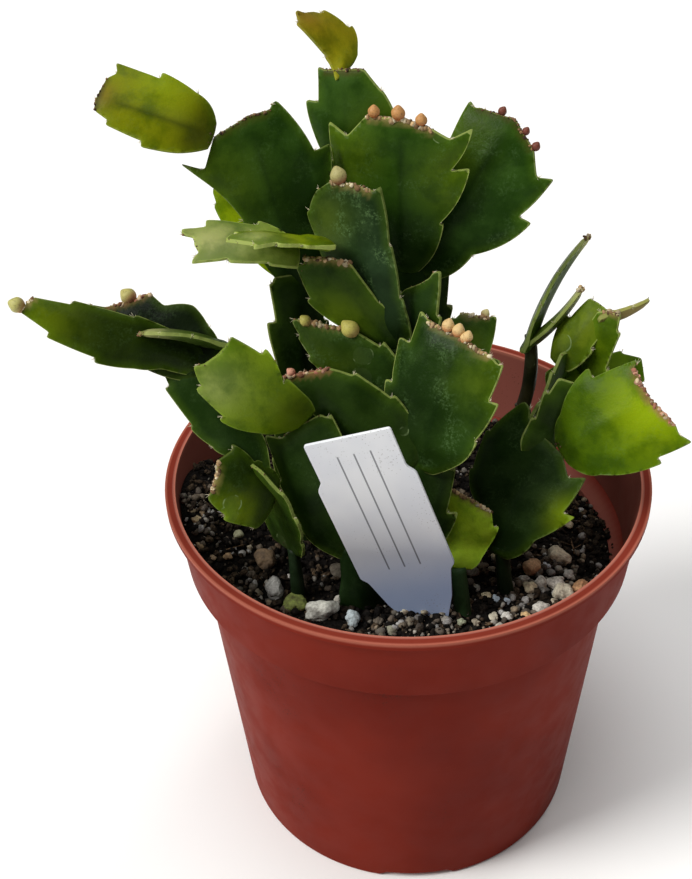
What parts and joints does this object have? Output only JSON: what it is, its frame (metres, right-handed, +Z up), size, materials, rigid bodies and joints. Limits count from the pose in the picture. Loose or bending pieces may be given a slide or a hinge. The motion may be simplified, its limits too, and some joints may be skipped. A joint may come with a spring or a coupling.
{
  "type": "potted christmas cactus",
  "caption": "Holiday cactus with flat toothed stem segments, rooted in gritty mix in a round terracotta coloured nursery pot with a blank plant tag.",
  "frame": {"origin": "centre of the flat pad under the pot, on the surface that it stands on", "axes": "+Z up along the pot's axis, -Y towards the side that the picture shows, +X to the right in it"},
  "size_m": [0.1334, 0.108, 0.189],
  "materials": {
    "segment_green": "waxy satin skin, deep green",
    "segment_young": "waxy satin skin, yellow green",
    "tag_plastic": "smooth white plastic card, a little dirty",
    "pot_plastic": "satin moulded plastic, terracotta colour",
    "potting_mix": "rough dark bark and peat with pale grit"
  },
  "bodies": {
    "root": {"stem_left": "segment_green", "stem_front_left": "segment_green", "young_front_left": "segment_young", "stem_centre": "segment_green", "stem_middle": "segment_green", "stem_back": "segment_green", "young_top": "segment_young", "stem_back_left": "segment_green", "young_left_tip": "segment_young", "young_back_left": "segment_young", "young_pale_front": "segment_young", "young_pale_back": "segment_young", "stem_front": "segment_green", "young_front": "segment_young", "stem_right": "segment_green", "young_right": "segment_young", "stem_back_right": "segment_green", "plant_tag": "tag_plastic", "pot": "pot_plastic", "potting_mix": "potting_mix"}
  },
  "joints": []
}
